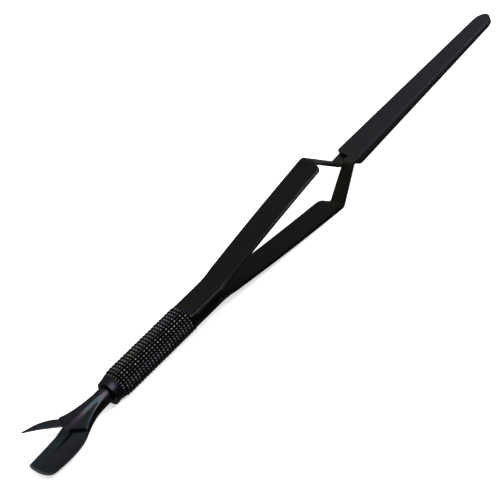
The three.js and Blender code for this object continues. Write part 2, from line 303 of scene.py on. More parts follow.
def worn_and_lit_towards_tips(tree, place, coat, wear_and_highlight_share, wear_and_highlight, colours):
    """The coat's colour, mixed more and more towards the tips with a colour for the legs, then the jaws:
    partly a thinner coat, partly a painted reflection.
    """
    own = add(tree, "ShaderNodeMapping",
              {"Vector": place, "Rotation": (0, TILT, 0), "Location": LAY.inverted().translation})
    reach = add(tree, "ShaderNodeSeparateXYZ", {0: own.outputs[0]})
    onward = add(tree, "ShaderNodeMapRange",
                 {"Value": reach.outputs["X"], "From Min": JAW_LIGHTER_START * MM, "From Max": TIP * MM})
    share = add(tree, "ShaderNodeValToRGB", {"Fac": onward.outputs[0]})
    share.color_ramp.elements[0].color = (0, 0, 0, 1)
    share.color_ramp.elements.new(0.05).color = (0.5, 0.5, 0.5, 1)
    tone = add(tree, "ShaderNodeValToRGB", {"Fac": onward.outputs[0]})
    for element, position, colour in zip(tone.color_ramp.elements, (0.13, 0.22), colours):
        element.position = position
        element.color = hex_colour(colour)
    tone_with_wear_and_highlight = add(tree, "ShaderNodeMix", {0: wear_and_highlight_share, 6: tone.outputs["Color"], 7: hex_colour(wear_and_highlight)},
                 data_type="RGBA")
    return add(tree, "ShaderNodeMix", {0: share.outputs["Color"], 6: coat, 7: tone_with_wear_and_highlight.outputs[2]},
               data_type="RGBA").outputs[2]


# from there the strips are drawn lighter: partly worn coat, partly painted reflection
print("the coat thins from", JAW_LIGHTER_START, "mm on")

# %% Three finishes of one steel


def coated_steel(name, hues, wear_and_highlight, roughness, line_mm, line_stretch, drift_mm, bump_mm, jaws=None):
    """Black coated steel: its hue drifts in patches and its fine lines follow the tool. One attribute
    says where it is drawn lighter, as wear and as painted highlight, and another how much painted shade
    darkens it. jaws has two colours for the legs and the jaws, which are drawn lighter towards the tips,
    partly as thinner coat and partly as painted reflection."""
    material, tree, shader = new_material(name)
    place = add(tree, "ShaderNodeTexCoord")
    turned = add(tree, "ShaderNodeMapping", {"Vector": place.outputs["Object"], "Rotation": (0, TILT, 0)})
    drift = add(tree, "ShaderNodeTexNoise",
                {"Vector": turned.outputs[0], "Scale": 1 / (drift_mm * MM), "Detail": 2.0})
    hue = add(tree, "ShaderNodeValToRGB", {"Fac": drift.outputs["Fac"]})
    for element, position, colour in zip(hue.color_ramp.elements, (0.36, 0.66), hues[::2]):
        element.position = position
        element.color = hex_colour(colour)
    hue.color_ramp.elements.new(0.5).color = hex_colour(hues[1])
    # the lighter colour: wear on the fork's and prong's edges and the knurl's tips, and painted highlight
    # along the strips' and the flat's edges, in patches
    mark = add(tree, "ShaderNodeAttribute", attribute_name="mark")
    patchy = add(tree, "ShaderNodeTexNoise",
                 {"Vector": turned.outputs[0], "Scale": 1 / (LIGHTER_EDGE_PATCH_MM * MM), "Detail": 3.0})
    share = add(tree, "ShaderNodeMapRange",
                {"Value": patchy.outputs["Fac"], "From Min": 0.3, "From Max": 0.7, "To Min": 0.6})
    wear_and_highlight_share = add(tree, "ShaderNodeMath", {0: mark.outputs["Fac"], 1: share.outputs[0]}, operation="MULTIPLY")
    colour = add(tree, "ShaderNodeMix", {0: wear_and_highlight_share.outputs[0], 6: hue.outputs["Color"], 7: hex_colour(wear_and_highlight)},
                 data_type="RGBA")
    result = colour.outputs[2]
    if jaws:
        result = worn_and_lit_towards_tips(tree, place.outputs["Object"], result, wear_and_highlight_share.outputs[0], wear_and_highlight, jaws)
    # painted shade: where the second attribute says so, the colour is mixed towards near black
    painted_shade = add(tree, "ShaderNodeAttribute", attribute_name="painted_shade")
    hollow = add(tree, "ShaderNodeMix", {0: painted_shade.outputs["Fac"], 6: result, 7: hex_colour(PAINTED_SHADE_BLACK)},
                 data_type="RGBA")
    tree.links.new(hollow.outputs[2], shader.inputs["Base Color"])
    drawn = add(tree, "ShaderNodeMapping",
                {"Vector": turned.outputs[0], "Scale": (line_stretch, 1.0, 1.0)})
    lines = add(tree, "ShaderNodeTexNoise",
                {"Vector": drawn.outputs[0], "Scale": 1 / (line_mm * MM), "Detail": 2.0})
    gloss = add(tree, "ShaderNodeMapRange",
                {"Value": lines.outputs["Fac"], "From Min": 0.3, "From Max": 0.7,
                 "To Min": roughness - GLOSS_SPREAD, "To Max": roughness + GLOSS_SPREAD})
    tree.links.new(gloss.outputs[0], shader.inputs["Roughness"])
    bump = add(tree, "ShaderNodeBump",
               {"Height": lines.outputs["Fac"], "Distance": bump_mm * MM, "Strength": 0.5})
    tree.links.new(bump.outputs[0], shader.inputs["Normal"])
    shader.inputs["Metallic"].default_value = 1.0
    return material


STRIP_BLACK = coated_steel("black_coated_strip_steel", ("#1b1c1e", "#1c1c1d", "#21201b"), "#8a8a8b",
                           roughness=0.42, line_mm=0.15, line_stretch=0.03, drift_mm=13.0, bump_mm=0.006,
                           jaws=("#3b382e", "#343339"))
TURNED_BLACK = coated_steel("black_coated_turned_steel", ("#202028", "#212023", "#272720"), "#75746f",
                            roughness=0.34, line_mm=0.3, line_stretch=3.0, drift_mm=5.0, bump_mm=0.006)
FORGED_BLACK = coated_steel("black_coated_forged_steel", ("#232e33", "#292a2d", "#2f2932"), "#7c7e82",
                            roughness=0.34, line_mm=0.5, line_stretch=0.25, drift_mm=4.0, bump_mm=0.006)
print("finishes:", STRIP_BLACK.name, TURNED_BLACK.name, FORGED_BLACK.name)

# %% [markdown]
# ## The handle: a turned bar with a square knurl
#
# On a lathe the bar is turned to size, and two passes of a knurling tool press straight grooves along it
# and rings of grooves round it, which leaves rows of small pyramids. A smooth collar is then turned at the
# fork end, and a milling cutter takes two flats off the other end and leaves on its own radius. The
# pyramids could be drawn as bump, but they break the outline of the bar, so they are real. First Python
# makes the plain bar, with eight faces to a groove each way. It has a mouth and a bore for the fork's
# shank, and a socket for the strips. The attribute `knurled` says where the knurl may cut, `outside` where
# the cutter may, and a third attribute how much shade is painted into the colour, inside the mouth and bore.

# %% Rings of the bar
FACES_PER_TOOTH = 8
BAR_SIDES = KNURL_ROWS * FACES_PER_TOOTH
MOUTH_R = 2.34                    # open mouth round the fork's neck
MOUTH_DEPTH = 2.4
BORE_R = 2.3                      # bore for the fork's shank
BORE_END = 13.0
SOCKET_START = 16.0
SOCKET_HALF_WIDTH = TANG_HALF_WIDTH + 0.05
COLLAR = [(0.55, 3.40), (0.63, 3.47), (2.3, 3.5), (3.6, 3.86), (4.6, 4.1), (5.5, GRIP_R)]
COLLAR_SHIFT = 0.25               # the collar is turned this far off the bar's centre
SHIFT_Y = -0.654                  # the side to which it is off
SHIFT_Z = -0.756
KNURL_FADE = 0.4                  # the knurl reaches its full depth over this length
BAR_ANGLES = [2 * math.pi * i / BAR_SIDES for i in range(BAR_SIDES)]


def bar_ring(x, radius, shift=0.0):
    """A ring of the bar; with shift the collar's end of it is off centre."""
    away = COLLAR_SHIFT * fade(x, GRIP_START, 0) * shift
    return [(x, radius * math.cos(a) + SHIFT_Y * away, radius * math.sin(a) + SHIFT_Z * away)
            for a in BAR_ANGLES]


def socket_ring(x, half_width, half_height):
    """A rectangle's outline, read at the same angles as the bar's rings."""
    ring = []
    for a in BAR_ANGLES:
        reach = min(half_width / max(abs(math.cos(a)), 1e-6), half_height / max(abs(math.sin(a)), 1e-6))
        ring.append((x, reach * math.cos(a), reach * math.sin(a)))
    return ring


print(f"the bar has {BAR_SIDES} sides, {PITCH / FACES_PER_TOOTH:.2f} mm long in the grip")

# %% Plain bar
bar_rings = [bar_ring(BORE_END, 0.4), bar_ring(BORE_END, BORE_R)]
bar_rings += [bar_ring(MOUTH_DEPTH, BORE_R), bar_ring(MOUTH_DEPTH, MOUTH_R)]
bar_rings += [bar_ring(0.65, MOUTH_R), bar_ring(0.55, MOUTH_R + 0.12)]
before_skin = len(bar_rings)
for x, radius in COLLAR[:2]:
    bar_rings.append(bar_ring(x, radius, shift=1.0))
for x in steps(0.9, GRIP_START, 0.4)[:-1] + steps(GRIP_START, GRIP_END, PITCH / FACES_PER_TOOTH):
    bar_rings.append(bar_ring(x, min(curve_at(COLLAR, x), GRIP_R), shift=1.0))
after_skin = len(bar_rings)
for x in steps(GRIP_END + 0.05, BARREL_END, 0.1):
    bar_rings.append(bar_ring(x, GRIP_R))
last_skin = len(bar_rings)
for x in (BARREL_END, SOCKET_START):
    bar_rings.append(socket_ring(x, SOCKET_HALF_WIDTH, ROOT_HALF_T - HAIR / 2))
bar_rings.append(socket_ring(SOCKET_START, 0.4, 0.4))
bar_mesh = loft("plain_bar", bar_rings, [[0.0] * BAR_SIDES for _ in bar_rings])
shares = {"knurled": [], "painted_shade": [], "outside": []}
for i, ring in enumerate(bar_rings):
    cuts = before_skin <= i < after_skin
    shares["knurled"] += [fade(ring[0][0], GRIP_START, GRIP_START + KNURL_FADE) * cuts] * BAR_SIDES
    # painted shade inside the mouth and the bore
    shares["painted_shade"] += [float(i < before_skin - 1)] * BAR_SIDES
    shares["outside"] += [float(before_skin <= i < last_skin)] * BAR_SIDES
for label, values in shares.items():
    bar_mesh.attributes.new(label, "FLOAT", "POINT").data.foreach_set("value", values)
print(f"plain bar: {len(bar_rings)} rings of {BAR_SIDES} points")

# %% [markdown]
# ## The knurl as Geometry Nodes
#
# The knurl repeats 700 times, so a node tree makes it. Along the bar and round it, a folded ramp is 0 in a
# groove and 1 half way between two grooves. The lower of the two ramps is the height of a pyramid. Each
# pyramid is cut off at its own height, because a knurl never forms all its tips alike and use wears them.
# The point then moves inward to the tooth's surface. The attribute `knurled` fades this out towards the
# collar, so that stays smooth. A second step holds the bar's height under the two milled flats, with the
# cutter's radius where it leaves. The tree also stores how near each point is to a tip, for the wear, and
# how low it lies in a groove, for the painted shade there.

# %% Knurl tree


def knurl_tree(material):
    tree = bpy.data.node_groups.new("square_knurl", "GeometryNodeTree")
    face = tree.interface
    face.new_socket("Geometry", in_out="INPUT", socket_type="NodeSocketGeometry")
    face.new_socket("Geometry", in_out="OUTPUT", socket_type="NodeSocketGeometry")
    sizes = ("Start", "Pitch", "Rows", "Depth", "Blunt", "Cut Start", "Cutter Radius", "Flat")
    for label in sizes:
        face.new_socket(label, in_out="INPUT", socket_type="NodeSocketFloat")
    face.new_socket("Seed", in_out="INPUT", socket_type="NodeSocketInt")
    given = add(tree, "NodeGroupInput").outputs

    def sums(kind, a, b=0.0, c=0.0):
        return add(tree, "ShaderNodeMath", {0: a, 1: b, 2: c}, operation=kind).outputs[0]

    def named(label):
        return add(tree, "GeometryNodeInputNamedAttribute", {"Name": label}, data_type="FLOAT").outputs[0]

    # where a point is, in grooves along and grooves round
    at = add(tree, "ShaderNodeSeparateXYZ", {0: add(tree, "GeometryNodeInputPosition").outputs[0]}).outputs
    across = add(tree, "ShaderNodeCombineXYZ", {1: at[1], 2: at[2]}).outputs[0]
    out = add(tree, "ShaderNodeVectorMath", {0: across}, operation="NORMALIZE").outputs[0]
    u = sums("DIVIDE", sums("SUBTRACT", at[0], given["Start"]), given["Pitch"])
    turn = sums("DIVIDE", sums("ARCTAN2", at[2], at[1]), 2 * math.pi)
    v = sums("MULTIPLY", turn, given["Rows"])

    # the height of the pyramid, cut off at a tip level that differs from tooth to tooth
    ramps = [sums("MULTIPLY", sums("PINGPONG", w, 0.5), 2.0) for w in (u, v)]
    cell = add(tree, "ShaderNodeCombineXYZ", {0: sums("FLOOR", u), 1: sums("FLOOR", v)}).outputs[0]
    dice = add(tree, "ShaderNodeTexWhiteNoise", {"Vector": cell, "W": given["Seed"]},
               noise_dimensions="4D").outputs["Value"]
    tip = sums("SUBTRACT", 1.0, sums("MULTIPLY", given["Blunt"], dice))
    height = sums("MINIMUM", sums("MINIMUM", ramps[0], ramps[1]), tip)
    inward = sums("MULTIPLY", given["Depth"], sums("SUBTRACT", height, 1.0))
    shift = add(tree, "ShaderNodeVectorMath",
                {0: out, "Scale": sums("MULTIPLY", inward, named("knurled"))}, operation="SCALE").outputs[0]
    cut = add(tree, "GeometryNodeSetPosition", {"Geometry": given["Geometry"], "Offset": shift}).outputs[0]

    # the two flats, with the cutter's radius where it leaves the bar
    at = add(tree, "ShaderNodeSeparateXYZ", {0: add(tree, "GeometryNodeInputPosition").outputs[0]}).outputs
    centre = sums("ADD", given["Cut Start"], given["Cutter Radius"])
    ahead = sums("MINIMUM", sums("SUBTRACT", at[0], centre), 0.0)
    squares = sums("SUBTRACT", sums("POWER", given["Cutter Radius"], 2.0), sums("MULTIPLY", ahead, ahead))
    rise = sums("SUBTRACT", given["Cutter Radius"], sums("SQRT", sums("MAXIMUM", squares, 0.0)))
    before_cut = sums("MAXIMUM", sums("SUBTRACT", given["Cut Start"], at[0]), 0.0)
    limit = sums("ADD", sums("ADD", given["Flat"], rise), sums("MULTIPLY", before_cut, 20.0))
    level = sums("MAXIMUM", sums("MINIMUM", at[2], limit), sums("MULTIPLY", limit, -1.0))
    drop = sums("MULTIPLY", sums("SUBTRACT", level, at[2]), named("outside"))
    down = add(tree, "ShaderNodeCombineXYZ", {2: drop}).outputs[0]
    milled = add(tree, "GeometryNodeSetPosition", {"Geometry": cut, "Offset": down}).outputs[0]

    # how near a tip a point is, which the finish reads as wear, and how low in a groove, as painted shade
    near = add(tree, "ShaderNodeMapRange", {"Value": height, "From Min": 0.55, "From Max": 0.9}).outputs[0]
    kept = sums("MULTIPLY", near, named("knurled"))
    wear = add(tree, "GeometryNodeStoreNamedAttribute", {"Geometry": milled, "Name": "mark", "Value": kept},
               data_type="FLOAT", domain="POINT").outputs[0]
    low = add(tree, "ShaderNodeMapRange", {"Value": height, "From Min": 0.45, "From Max": 0.05}).outputs[0]
    groove = sums("MULTIPLY", low, named("knurled"))
    dark = sums("MAXIMUM", groove, named("painted_shade"))
    grooved = add(tree, "GeometryNodeStoreNamedAttribute", {"Geometry": wear, "Name": "painted_shade", "Value": dark},
                  data_type="FLOAT", domain="POINT").outputs[0]
    real = add(tree, "GeometryNodeRealizeInstances", {"Geometry": grooved}).outputs[0]
    dressed = add(tree, "GeometryNodeSetMaterial", {"Geometry": real, "Material": material}).outputs[0]
    add(tree, "NodeGroupOutput", {"Geometry": dressed})
    return tree


KNURL_TREE = knurl_tree(TURNED_BLACK)
print("knurl tree:", len(KNURL_TREE.nodes), "nodes")

# %% [markdown]
# The tree is a modifier on the plain bar. Its inputs are set by their sockets' identifiers, the bar is
# evaluated once, and the result becomes a plain mesh, so the finished handle has no modifier left. The
# last touches are worked out in Python: a painted highlight along one edge of the top flat, on the side
# towards the light, and painted shade on the bar's sides between the flats.

# %% Cut the bar
FLAT_PROUD = 0.008                # the bar's flats stand this little above the strips
bar = bpy.data.objects.new("plain_bar", bar_mesh)
bpy.context.collection.objects.link(bar)
knurl = bar.modifiers.new("square_knurl", "NODES")
knurl.node_group = KNURL_TREE
knurl_sizes = {
    "Start": GRIP_START * MM, "Pitch": PITCH * MM, "Rows": float(KNURL_ROWS), "Depth": KNURL_DEPTH * MM,
    "Blunt": 0.35, "Cut Start": GRIP_END * MM, "Cutter Radius": CUTTER_R * MM,
    "Flat": (ROOT_HALF_T + FLAT_PROUD) * MM, "Seed": 7,
}
for item in KNURL_TREE.interface.items_tree:
    if item.in_out == "INPUT" and item.name in knurl_sizes:
        knurl[item.identifier] = knurl_sizes[item.name]
bpy.context.view_layer.update()
cut_bar = bpy.data.meshes.new_from_object(bar.evaluated_get(bpy.context.evaluated_depsgraph_get()))
bpy.data.objects.remove(bar)
print("cut bar:", len(cut_bar.polygons), "faces")

# %% Knurled handle
FLAT_EDGE_HIGHLIGHT = 0.7
FLAT_EDGE_WIDTH = 0.25
BETWEEN_FLATS_PAINTED_SHADE = 0.5
wear_and_highlight = cut_bar.attributes["mark"].data
dark = cut_bar.attributes["painted_shade"].data
for v in cut_bar.vertices:
    x, y, z = v.co / MM
    from_axis = math.hypot(y, z)
    ahead = min(x - GRIP_END - CUTTER_R, 0.0)
    rise = CUTTER_R - math.sqrt(max(CUTTER_R ** 2 - ahead ** 2, 0.0))
    # a painted highlight along the top flat's edge on the side towards the light
    if x > GRIP_END + 0.3 and y < 0 < z and from_axis > GRIP_R - 0.12:
        wear_and_highlight[v.index].value = FLAT_EDGE_HIGHLIGHT * fade(abs(z - ROOT_HALF_T - rise), FLAT_EDGE_WIDTH, 0)
    # painted shade on the bar's sides between the flats
    if x > GRIP_END + 0.2 and abs(z) < ROOT_HALF_T - 0.3 and from_axis > GRIP_R - 0.3:
        dark[v.index].value = BETWEEN_FLATS_PAINTED_SHADE
knurled_handle = piece("knurled_handle", tidy(cut_bar, 24), TURNED_BLACK)
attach(knurled_handle, "handle")
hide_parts("handle_barrel")

# %% [markdown]
# ## The root spacer
#
# Between the two strips a spacer is riveted or soldered in, so the strips leave the root a fixed distance
# apart. Its sides are round like the bar, and its end is a round-bottomed slot, as a drill would leave it,
# because a sharp corner there would start a crack. It is a loft of flat-topped sections, and the end's
# hollow comes from moving the points of the last rings by their height.

# %% Root spacer
SPACER_ROWS = 9
SLOT_BOTTOM_R = 1.05
SPACER_PLAY = 0.004               # the spacer is this much thinner than the gap, on each side
SLOT_END_LIGHTER = 0.7                # how much lighter the slot's end is drawn
SPACER_PAINTED_SHADE = 0.45                # how much painted shade the rest of it has, between the strips


def spacer_ring(x, half_width, hollow):
    """A closed section: up the left side and down the right one, on the bar's radius where it shows."""
    ring = []
    half = SPACER_T / 2 - SPACER_PLAY
    corner = math.sqrt(SLOT_BOTTOM_R ** 2 - half ** 2)
    for side in (1, -1):
        for i in range(SPACER_ROWS):
            z = side * half * (2 * i / (SPACER_ROWS - 1) - 1)
            y = half_width if half_width < GRIP_R else math.sqrt(GRIP_R ** 2 - z ** 2) - HAIR
            back = hollow * (math.sqrt(SLOT_BOTTOM_R ** 2 - z ** 2) - corner)
            ring.append((x - back, side * y, z))
    return ring


spacer_rings = [spacer_ring(TANG_START, TANG_HALF_WIDTH, 0)]
spacer_rings.append(spacer_ring(BARREL_END + HAIR, TANG_HALF_WIDTH, 0))
spacer_rings.append(spacer_ring(BARREL_END + 2 * HAIR, GRIP_R, 0))
spacer_rings.append(spacer_ring(SPACER_END - 2, GRIP_R, 0))
spacer_rings.append(spacer_ring(SPACER_END - 0.22, GRIP_R, 1))
spacer_rings.append(spacer_ring(SPACER_END, GRIP_R, 1))
width = len(spacer_rings[0])
spacer_marks = [[0.0] * width for _ in spacer_rings[:-1]] + [[SLOT_END_LIGHTER] * width]
spacer_painted_shades = [[SPACER_PAINTED_SHADE] * width for _ in spacer_rings[:-1]] + [[0.0] * width]
spacer_mesh = loft("root_block", spacer_rings, spacer_marks, pair_last=True, painted_shades=spacer_painted_shades)
root_block = piece("root_block", tidy(spacer_mesh, 35), STRIP_BLACK)
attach(root_block, "handle")
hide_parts("root_spacer")

# %% [markdown]
# ## The spring strips
#
# Each strip is a pressing: cut flat from sheet with a leg on one half of its width, its edges broken, and
# then bent twice, at the leg's top and at its foot. The mesh is made the same way. The flat outline is cut
# across at every station where the strip will bend, given its thickness, and bevelled along its edges.
# Only then is it bent, by reading each point's place along the strip, across it and through it. Bending a
# finished blank keeps the edge radius even all the way round, which a loft can't do at the free half's end.
#
# The middle line is worked out first. A strip leaves the root at a slope that falls slowly, because it is
# bowed, then dives through the tool's middle and comes out as the jaw on the other side.

# %% Middle line of a strip
ARM_SLOPE_ROOT = 0.16
ARM_SLOPE_END = 0.111
LEG_ANGLE = math.radians(44.3)
BEND_R = 1.4
JAW_T_BASE = 1.24
JAW_T_TIP = 0.76
JAW_GAP = 0.06                    # closed jaws touch; this keeps their two faces from sharing a plane
JAW_PITCH = math.radians(1.29)    # both closed jaws rise from the tool's axis


def arm_height(x):
    """Height of the middle of the upper strip at x, from the root to the bend."""
    s = max(x - SLOT_ROOT, 0.0)
    fall = (ARM_SLOPE_ROOT - ARM_SLOPE_END) / (2 * (ARM_END - SLOT_ROOT))
    return (SPACER_T + STRIP_T) / 2 + ARM_SLOPE_ROOT * s - fall * s * s


def thickness(x):
    """The pressing is thicker in the jaw, which tapers to its tip."""
    jaw = JAW_T_BASE + (JAW_T_TIP - JAW_T_BASE) * max(x - JAW_START, 0.0) / (TIP - JAW_START)
    return STRIP_T + (jaw - STRIP_T) * fade(x, JAW_START - 0.9, JAW_START + 0.3)


def rounded(before, corner, after, radius, count):
    """Points of a soft corner of that radius, in count steps."""
    a = (before - corner).normalized()
    b = (after - corner).normalized()
    back = radius / math.tan(a.angle(b) / 2)
    first, last = corner + a * back, corner + b * back
    points = []
    for i in range(count + 1):
        t = i / count
        points.append(first * (1 - t) ** 2 + corner * 2 * t * (1 - t) + last * t * t)
    return points


def middle_line():
    """The strip's middle in the x-z plane, as (x, z) vectors."""
    jaw_z = -(JAW_GAP + JAW_T_BASE) / 2
    tip_z = -(JAW_GAP + JAW_T_TIP) / 2
    bend = Vector((ARM_END, arm_height(ARM_END)))
    foot = Vector((ARM_END + (bend.y - jaw_z) / math.tan(LEG_ANGLE), jaw_z))
    tip = Vector((TIP, tip_z))
    points = [Vector((TANG_START, arm_height(0)))]
    points += [Vector((x, arm_height(x))) for x in steps(SLOT_ROOT, ARM_END - 2.4, 2.6)]
    points += rounded(points[-1], bend, foot, BEND_R, 8)
    points += rounded(bend, foot, tip, BEND_R, 8)
    points += [foot.lerp(tip, t) for t in (0.06, 0.3, 0.6, 0.9, 0.95)]
    points.append(tip + Vector((0.5, 0.0)))
    return points


MIDDLE = middle_line()
MIDDLE_X = [p.x for p in MIDDLE]
ALONG = [0.0]
for before, after in zip(MIDDLE, MIDDLE[1:]):
    ALONG.append(ALONG[-1] + (after - before).length)
TANGENTS = [(after - before).normalized() for before, after in zip(MIDDLE, MIDDLE[1:])]
print(f"the strip is {ALONG[-1]:.1f} mm long before it is bent, {TIP - TANG_START:.1f} mm after")

# %% [markdown]
# The flat outline is drawn with x in the finished tool's millimetres and then stretched to the length
# along the strip. The root has the width of the bar. The free half ends a little slanted and has one round
# corner, the leg leaves the other half through a small fillet, and the jaw has square shoulders and a
# round nose.

# %% Flat outline of a strip
ROOT_HALF_WIDTH = GRIP_R - HAIR
ARM_HALF_WIDTH = 3.72
ROOT_TAPER = [(SLOT_ROOT + 1, ROOT_HALF_WIDTH), (SLOT_ROOT + 3, 3.9), (SLOT_ROOT + 5.5, ARM_HALF_WIDTH)]
LEG_SIDE_Y = 4.0
FREE_SIDE_Y = 3.7
LEG_TOP_Y = -0.5                  # inner edge of the leg at its bend, and at its foot
LEG_INNER_Y = 0.7
JAW_HALF_WIDTH = 3.85
NOSE_START = 150.6
NOSE_HALF_WIDTH = 2.45
NOSE_STEPS = 12
NOSE_POWER = 0.94                 # below 1 the nose is a little fuller than half an ellipse


def arc(a, b, c, count):
    """Points of the soft curve from a to c that leans towards b, in count steps."""
    a, b, c = Vector(a), Vector(b), Vector(c)
    points = []
    for i in range(count + 1):
        t = i / count
        points.append(tuple(a * (1 - t) ** 2 + b * 2 * t * (1 - t) + c * t * t))
    return points


def nose():
    """Half of the jaw's round end, from its side to the tip."""
    points = []
    for i in range(NOSE_STEPS):
        a = math.pi / 2 * i / NOSE_STEPS
        points.append((NOSE_START + (TIP - NOSE_START) * math.sin(a) ** NOSE_POWER,
                       NOSE_HALF_WIDTH * math.cos(a) ** NOSE_POWER))
    return points + [(TIP, 0.0)]


def strip_outline():
    """The blank's outline: out along the right side, round the nose and back along the left one."""
    root_end = BARREL_END + 2 * HAIR
    corner = ARM_FREE_END - ARM_FREE_SLANT
    points = [(TANG_START, -TANG_HALF_WIDTH), (root_end, -TANG_HALF_WIDTH), (root_end, -ROOT_HALF_WIDTH)]
    points += [(x, -y) for x, y in ROOT_TAPER]
    # the free half's round corner, then the fillet into the leg
    points += arc((corner - 1.5, -FREE_SIDE_Y), (corner, -FREE_SIDE_Y), (corner + 0.3, 1.4 - FREE_SIDE_Y), 9)
    points += arc((ARM_FREE_END - 0.1, LEG_TOP_Y - 0.8), (ARM_FREE_END, LEG_TOP_Y),
                  (ARM_FREE_END + 0.8, LEG_TOP_Y + 0.1), 8)
    # the leg's foot, then the jaw's shoulder
    points += arc((JAW_START - 0.35, LEG_INNER_Y), (JAW_START, LEG_INNER_Y),
                  (JAW_START, LEG_INNER_Y - 0.35), 4)
    points += arc((JAW_START + 0.05, 1.2 - JAW_HALF_WIDTH), (JAW_START + 0.4, -JAW_HALF_WIDTH),
                  (JAW_START + 1.0, -JAW_HALF_WIDTH), 5)
    points += [(x, -y) for x, y in nose()] + nose()[-2::-1]
    points += [(JAW_START, JAW_HALF_WIDTH), (ARM_END, LEG_SIDE_Y)] + ROOT_TAPER[::-1]
    points += [(root_end, ROOT_HALF_WIDTH), (root_end, TANG_HALF_WIDTH), (TANG_START, TANG_HALF_WIDTH)]
    return points


def unbent(x):
    """How far along the flat blank the finished tool's x is."""
    return float(np.interp(x, MIDDLE_X, ALONG))


OUTLINE = [(unbent(x), y) for x, y in strip_outline()]
print(len(OUTLINE), "points in the outline")

# %% [markdown]
# The blank is cut across, thickened and bevelled. At the root the strip's edge lies flush with the spacer
# and the bar, so only its outer edge is broken there. After bending, the root's sides are drawn in to the
# bar's round. The arms look best with flat faces that stay flat up to the broken edge, so a Weighted Normal
# modifier lets the large faces set the shading.

# %% Flat blank
EDGE_R = 0.22                     # the broken edges


def strip_blank():
    """The flat pressing in a bmesh: x along, y across, z from -0.5 to 0.5 of its thickness."""
    work = bmesh.new()
    corners = [work.verts.new((s, y, -0.5)) for s, y in OUTLINE]
    work.faces.new(corners)
    for s in ALONG[1:-1]:
        bmesh.ops.bisect_plane(work, geom=work.verts[:] + work.edges[:] + work.faces[:], dist=1e-4,
                               plane_co=(s, 0, 0), plane_no=(1, 0, 0))
    made = bmesh.ops.extrude_face_region(work, geom=work.faces[:])
    raised = [g for g in made["geom"] if isinstance(g, bmesh.types.BMVert)]
    bmesh.ops.translate(work, verts=raised, vec=(0, 0, 1.0))
    bmesh.ops.recalc_face_normals(work, faces=work.faces)
    return work


def is_rim(edge):
    """True for an edge between a flat face and the blank's side, except on the root's inner side."""
    if len(edge.link_faces) != 2:
        return False
    flat = [abs(f.normal.z) > 0.9 for f in edge.link_faces]
    inner_root = edge.verts[0].co.z < 0 and max(v.co.x for v in edge.verts) < unbent(SLOT_ROOT) + 0.01
    tang = max(v.co.x for v in edge.verts) < unbent(BARREL_END) + 0.01
    return flat[0] != flat[1] and not inner_root and not tang


print("broken edges:", EDGE_R, "mm")

# %% Bend


def bend_point(s, y, t):
    """A point of the flat blank on the bent strip; t is through it, -0.5 to 0.5 of the thickness."""
    x = float(np.interp(s, ALONG, MIDDLE_X))
    z = float(np.interp(s, ALONG, [p.y for p in MIDDLE]))
    i = min(max(int(np.searchsorted(ALONG, s)) - 1, 0), len(ALONG) - 2)
    here = TANGENTS[i]
    if abs(s - ALONG[i]) < 1e-3 and i > 0:
        here = (TANGENTS[i - 1] + TANGENTS[i]).normalized()
    if abs(s - ALONG[i + 1]) < 1e-3 and i + 1 < len(TANGENTS):
        here = (TANGENTS[i] + TANGENTS[i + 1]).normalized()
    through = t * thickness(x)
    x, z = x - here.y * through, z + here.x * through
    to_round = fade(x, SLOT_ROOT + 4.8, SLOT_ROOT + 0.8)
    if x > BARREL_END and to_round > 0:
        reach = math.sqrt(max(GRIP_R ** 2 - z * z, 1.0)) / GRIP_R
        y *= 1 + (reach - 1) * to_round
    return x, y, z


print("the upper strip's tip before it is turned:", [round(v, 2) for v in bend_point(unbent(TIP), 0, 0)])

# %% Painted highlight and painted shade on a strip
# how strong the painted highlight is along the edge that faces up, along the tool
EDGE_HIGHLIGHT = [(31, 0.3), (38, 0.3), (46, 0.25), (56, 0.25), (68, 0.8), (83, 1.0), (90, 0.4), (100, 0.35),
       (130, 0.6), (154, 0.6)]
JAW_SIDE_HIGHLIGHT = 0.3
ARM_SIDE_PAINTED_SHADE = 0.75
# painted shade: the lower strip is drawn darker where the upper one shades it
LOWER_STRIP_PAINTED_SHADE = 0.4                  # the lower strip lies in the upper one's shade
BEVEL_START = 0.5 - EDGE_R / STRIP_T + 0.02


def is_side(x, through):
    """True on the blank's narrow side, and on the root's inner face, whose edge isn't broken."""
    return abs(through) < BEVEL_START or (x < SLOT_ROOT + 0.01 and through < 0)


def edge_highlight_at(x, through, upper):
    """How much painted highlight a point gets, along the edges that face up and on the jaws' sides;
    through is -0.5 to 0.5 of the blank's thickness.
    """
    facing_up = (through > 0) == upper and upper != (x > JAW_START)
    if BEVEL_START < abs(through) < 0.495 and facing_up:
        return curve_at(EDGE_HIGHLIGHT, x)
    return JAW_SIDE_HIGHLIGHT * (is_side(x, through) and x > JAW_START)


def painted_shade_at(x, z, through, upper):
    """Painted shade: in the slot's end, on the arms' sides and on the lower arm, under the upper one."""
    near_slot = z < SPACER_T / 2 + 2 * HAIR and x > SLOT_ROOT - 1.6
    in_slot = near_slot * fade(x, SLOT_ROOT + 1.6, SLOT_ROOT)
    on_side = ARM_SIDE_PAINTED_SHADE * is_side(x, through) * fade(x, 93, 88)
    return max(in_slot, on_side, LOWER_STRIP_PAINTED_SHADE * (not upper) * fade(x, 85, 82))


# the painted highlight's strength at the bend
print("rubbed at the bend:", curve_at(EDGE_HIGHLIGHT, ARM_END))

# %% Spring strips
LOWER_LONGER = 0.9                # the lower strip bends this much nearer the jaws


